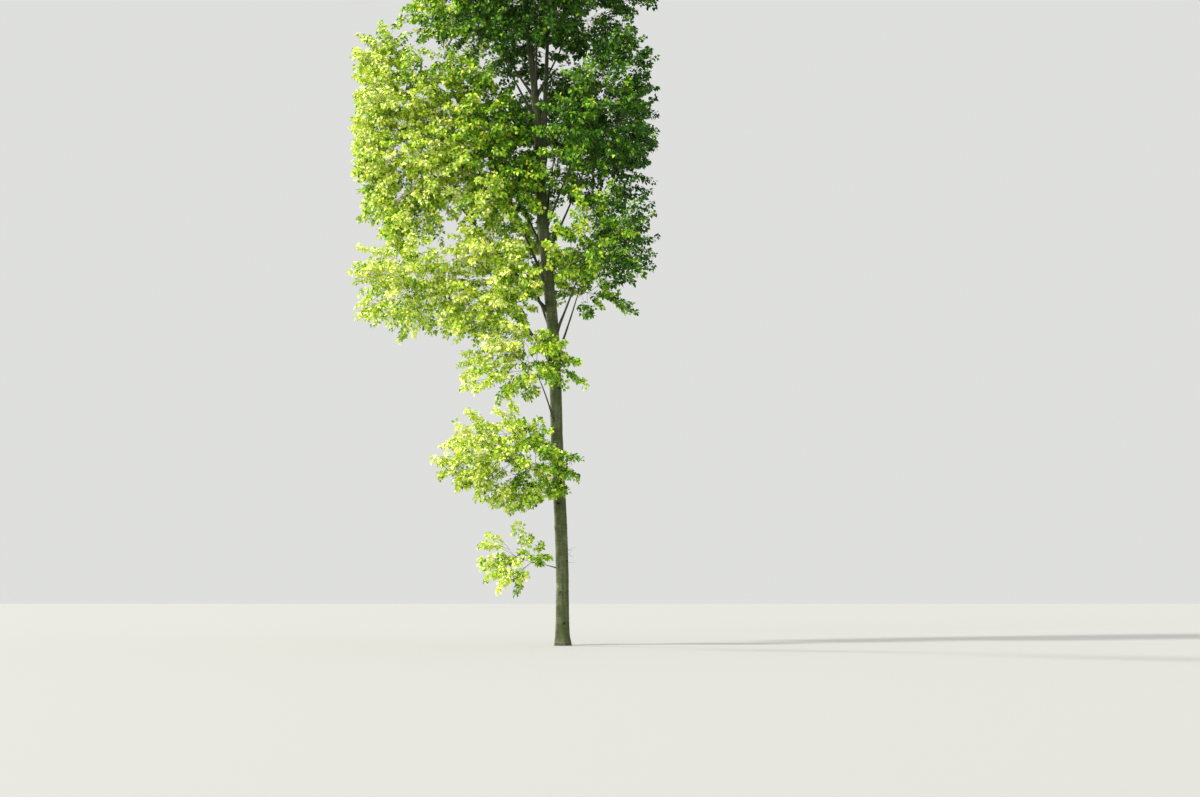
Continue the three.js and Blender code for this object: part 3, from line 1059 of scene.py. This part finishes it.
def shoots_on(axes, rng):
    """Side shoots left and right along each spray, and one that carries on from its end."""
    at = np.linspace(FIRST_SHOOT, 1.0, SHOOTS_A_SPRAY) * (SPRAY_RINGS - 1)
    index = np.minimum(np.floor(at).astype(int), SPRAY_RINGS - 2)
    part = (at - index)[None, :, None]
    starts = axes[:, index] * (1 - part) + axes[:, index + 1] * part
    heading = unit(axes[:, -1] - axes[:, 0])[:, None]
    level = unit(np.cross(heading, UP) + 1e-6)
    side = np.where(np.arange(SHOOTS_A_SPRAY) % 2 == 0, 1.0, -1.0) * SHOOT_SIDEWAYS
    side[-1] = LAST_SHOOT_SIDEWAYS
    way = SHOOT_ONWARD * heading + side[None, :, None] * level + SHOOT_UPWARD * UP
    way = unit(way + SHOOT_SCATTER * rng.normal(size=starts.shape))
    droop = UP * rng.uniform(*SHOOT_DROOPS, starts.shape[:2])[..., None]
    taper = np.interp(at, (0, SPRAY_RINGS - 1), SHOOT_TAPER)
    length = SHOOT_LENGTH * taper * rng.uniform(*SHOOT_LENGTHS, starts.shape[:2])
    ends = starts + (way - droop) * length[..., None]
    return starts, ends


def leaf_outline():
    """One leaf, folded a little on its midrib: base, shoulders, cheeks and tip, in leaf lengths."""
    right = np.array([LEAF_SHOULDER, LEAF_CHEEK])
    left = right[::-1] * (-1, 1, 1)
    return np.vstack([[(0, 0, 0)], right, [LEAF_TIP], left])


LEAF_OUTLINE = leaf_outline()
LEAF_FACES = np.array([(0, 1, 2), (0, 2, 3), (0, 3, 4), (0, 4, 5), (6, 7, 0)])


def leaves_on(starts, ends, rng):
    """Leaves in a spiral along each shoot, each on its own stalk, hanging and turned at random."""
    each = (len(starts), LEAVES_A_SHOOT)
    at = (np.arange(LEAVES_A_SHOOT) + rng.uniform(*LEAF_PLACES, each)) / LEAVES_A_SHOOT
    at = FIRST_LEAF + (1 - FIRST_LEAF) * at[..., None]
    places = starts[:, None] * (1 - at) + ends[:, None] * at
    tangents, across, upright = (axis[:, :1] for axis in section_axes(np.stack([starts, ends], axis=1)))
    spiral = np.arange(LEAVES_A_SHOOT) * LEAF_TURN + rng.uniform(0, math.tau, (len(starts), 1))
    radial = across * np.cos(spiral)[..., None] + upright * np.sin(spiral)[..., None]
    stalk = unit(STALK_ALONG * tangents + STALK_OUT * radial + STALK_UP * UP)
    bases = places + stalk * STALK_LENGTH * rng.uniform(*STALK_LENGTHS, (*each, 1))
    way = LEAF_ALONG_STALK * stalk - LEAF_HANG * UP
    way = unit(way + LEAF_SCATTER * rng.normal(size=bases.shape))
    facing = FACE_UP * UP + FACE_LIGHT * np.array(LIGHT_FROM)
    facing = facing + FACE_SCATTER * rng.normal(size=bases.shape)
    facing = unit(facing - np.sum(facing * way, axis=-1, keepdims=True) * way)
    right = np.cross(way, facing)
    size = LEAF_LENGTH * rng.uniform(*LEAF_LENGTHS, (*each, 1)) * np.interp(at, (FIRST_LEAF, 1), LEAF_TAPER)
    outline = [bases + size * (x * right + y * way + z * facing) for x, y, z in LEAF_OUTLINE]
    outline += [places - right * STALK_HALF, places + right * STALK_HALF]
    points = np.stack(outline, axis=2).reshape(-1, 3)
    first = np.arange(len(starts) * LEAVES_A_SHOOT)[:, None, None] * len(outline)
    return points, (LEAF_FACES[None] + first).reshape(-1, 3)


def spray_light(mass, axes, rng):
    """How brightly each spray's leaves are painted, as light and shade: most on the light side, whose edge
    slants, and outside.
    """
    middles = axes[:, 2]
    height = middles[:, 2]
    from_bottom = np.clip(height, *LIT_HEIGHTS) - LIT_HEIGHTS[0]
    lit = (LIT_EDGE - LIT_EDGE_SLOPE * from_bottom - middles[:, 0]) / LIT_EDGE_WIDTH
    light = LEAST_LIGHT + LIGHT_BY_PLACE * np.clip(lit, 0, 1)
    light += LIGHT_AT_TOP * np.interp(height, TOP_HEIGHTS, (0, 1))
    light += LIGHT_BY_FACING * (mass.outward(middles) @ np.array(LIGHT_FROM))
    light -= LIGHT_BY_DEPTH * np.clip(mass.depths(middles), 0, 1)
    return light + rng.normal(0, SPRAY_VARIETY, len(axes))


def leaf_shades(light, rng):
    """The number of each leaf's colour, from the brightest, for shoots of known light; the last is warm."""
    count = len(LEAF_COLOURS)
    light = np.repeat(light, LEAVES_A_SHOOT)
    light = light + rng.normal(0, LEAF_VARIETY, len(light))
    shades = np.clip(np.floor((1 - light) * count), 0, count - 1).astype(int)
    warm = (rng.uniform(size=len(shades)) < WARM_SHARE) & (shades < WARM_SHADES)
    return np.where(warm, count, shades)


def grow_mass(name, limbs, twig_materials, leaf_materials, rng):
    """Branches, twigs and leaves for one mass, growing on from the limbs that end in it."""
    mass = Mass(name)
    skeleton = Skeleton()
    tips = [skeleton.take_up(limb, mass) for limb in limbs]
    bare = len(skeleton.places)
    axis = mass.axis(skeleton.places[0], skeleton.places[tips[0]], skeleton.headings[tips[0]])
    skeleton.follow(axis, tips[0])
    skeleton.grow(mass.nodes(rng))
    skeleton.settle(bare, tips[0], limbs[0][1][-1])
    axes = spray_axes(skeleton, mass, rng)
    wood = branch_tubes(skeleton, axes)

    leafy = axes[np.append(np.arange(bare, len(axes)), tips)]
    starts, ends = shoots_on(leafy, rng)
    light = spray_light(mass, leafy, rng)
    kept = within_frame(ends)
    light = np.broadcast_to(light[:, None], kept.shape)[kept]
    starts = starts[kept]
    ends = ends[kept]
    branch_faces = sum(len(faces) for _, faces in wood)
    wood.append(tubes(np.stack([starts, ends], axis=1), np.full((len(starts), 2), SHOOT_RADIUS), sides=3))
    kinds = np.append(np.zeros(branch_faces), np.ones(len(wood[-1][1])))
    add_piece(joined_mesh(f"twigs_{name}", wood, kinds), twig_materials, [])

    leaves = leaves_on(starts, ends, rng)
    shades = np.repeat(leaf_shades(light, rng), len(LEAF_FACES))
    slot = "leaves_sunlit" if name in LIGHT_SIDE_HABITS or name == "top" else "leaves_shaded"
    add_piece(joined_mesh(f"leaves_{name}", [leaves], shades), leaf_materials, [f"foliage_{name}"])


def trunk_tip():
    """The trunk's own top as a limb for the mass round it."""
    deepest, shallowest = TRUNK_TIP_DEPTHS
    top = STEM_MIDDLES[-1, 2]
    heights = np.arange(top - deepest, top - shallowest, LIMB_STEP)
    radii = through(STEM_RADII, stem_index(heights)).mean(axis=1)
    return stem_at(heights), radii


def bark(rng):
    """The trunk and every limb. Gives the limbs that end in each mass, by the mass's name."""
    trunk_bark = bark_material("poplar_bark", **TRUNK_BARK)
    bough_bark = bark_material("bough_bark", **BOUGH_BARK)
    bark_trunk(trunk_bark, rng)
    limbs = {}
    for node in sorted(frame["nodes"]):
        if node.startswith("bough_"):
            limbs[node[len("bough_"):]] = [bark_limb(node, bough_bark, BOUGH_SIDES)]
    limbs["upper_1"].append(bark_limb("second_leader", trunk_bark, LEADER_SIDES))
    limbs["top"] = [trunk_tip()]
    return limbs


def crown(limbs):
    """Every mass of the crown, each with its own seed so that a change to one leaves the rest."""
    twigs = [
        plain_material("twig_wood", TWIG_COLOUR, roughness=0.8),
        plain_material("green_shoots", SHOOT_COLOUR, roughness=0.6),
    ]
    colours = {**LEAF_COLOURS, "warm": WARM_LEAF}
    leaves = [plain_material(f"leaf_{name}", colour, LEAF_ROUGHNESS) for name, colour in colours.items()]
    for number, name in enumerate(sorted(limbs)):
        grow_mass(name, limbs[name], twigs, leaves, np.random.default_rng(SEED * 1000 + number))


# Studio


def stage():
    """A wide pale floor, a plain pale surround and soft light from the left."""
    ground = bmesh.new()
    bmesh.ops.create_grid(ground, x_segments=1, y_segments=1, size=FLOOR_SIZE)
    mesh = bpy.data.meshes.new("studio_floor")
    ground.to_mesh(mesh)
    ground.free()
    floor = bpy.data.objects.new("studio_floor", mesh)
    floor.location.z = -FLOOR_DROP
    bpy.context.scene.collection.objects.link(floor)
    mesh.materials.append(plain_material("floor", FLOOR_COLOUR, roughness=0.9))

    world = bpy.data.worlds.new("surround")
    world.use_nodes = True
    background = world.node_tree.nodes["Background"]
    background.inputs["Color"].default_value = SURROUND_COLOUR
    background.inputs["Strength"].default_value = SURROUND_STRENGTH
    bpy.context.scene.world = world
    bpy.context.scene.view_settings.view_transform = "Standard"

    add_sun("key_light", LIGHT_FROM, strength=3.2, spread=8, colour=(1.0, 0.96, 0.86))
    add_sun("rim_light", (-0.8, 0.6, 0.25), strength=2.6, spread=5, colour=(1.0, 0.95, 0.82))
    add_sun("fill_light", (-0.35, -0.9, 0.2), strength=0.9, spread=30, colour=(1.0, 0.98, 0.92))


def add_sun(name, toward, strength, spread, colour):
    """A soft light that shines from the direction toward, spread over so many degrees."""
    data = bpy.data.lights.new(name, "SUN")
    data.energy = strength
    data.angle = math.radians(spread)
    data.color = colour
    lamp = bpy.data.objects.new(name, data)
    lamp.rotation_mode = "QUATERNION"
    lamp.rotation_quaternion = Vector(toward).to_track_quat("Z", "Y")
    bpy.context.scene.collection.objects.link(lamp)


def camera():
    """The photograph's view: eye height, a long lens and a slight tilt up."""
    data = bpy.data.cameras.new("camera")
    data.sensor_width = CAMERA_SENSOR
    data.lens = CAMERA_LENS
    data.clip_end = 600
    eye = bpy.data.objects.new("camera", data)
    eye.location = CAMERA_PLACE
    eye.rotation_euler = (math.pi / 2 + CAMERA_TILT, 0, 0)
    bpy.context.scene.collection.objects.link(eye)
    bpy.context.scene.camera = eye


def build():
    """The studio, the bark and then the crown that grows on from it."""
    camera()
    stage()
    rng = np.random.default_rng(SEED)
    limbs = bark(rng)
    dead_twigs(plain_material("dead_wood", DEAD_WOOD_COLOUR, roughness=0.85), rng)
    crown(limbs)


build()
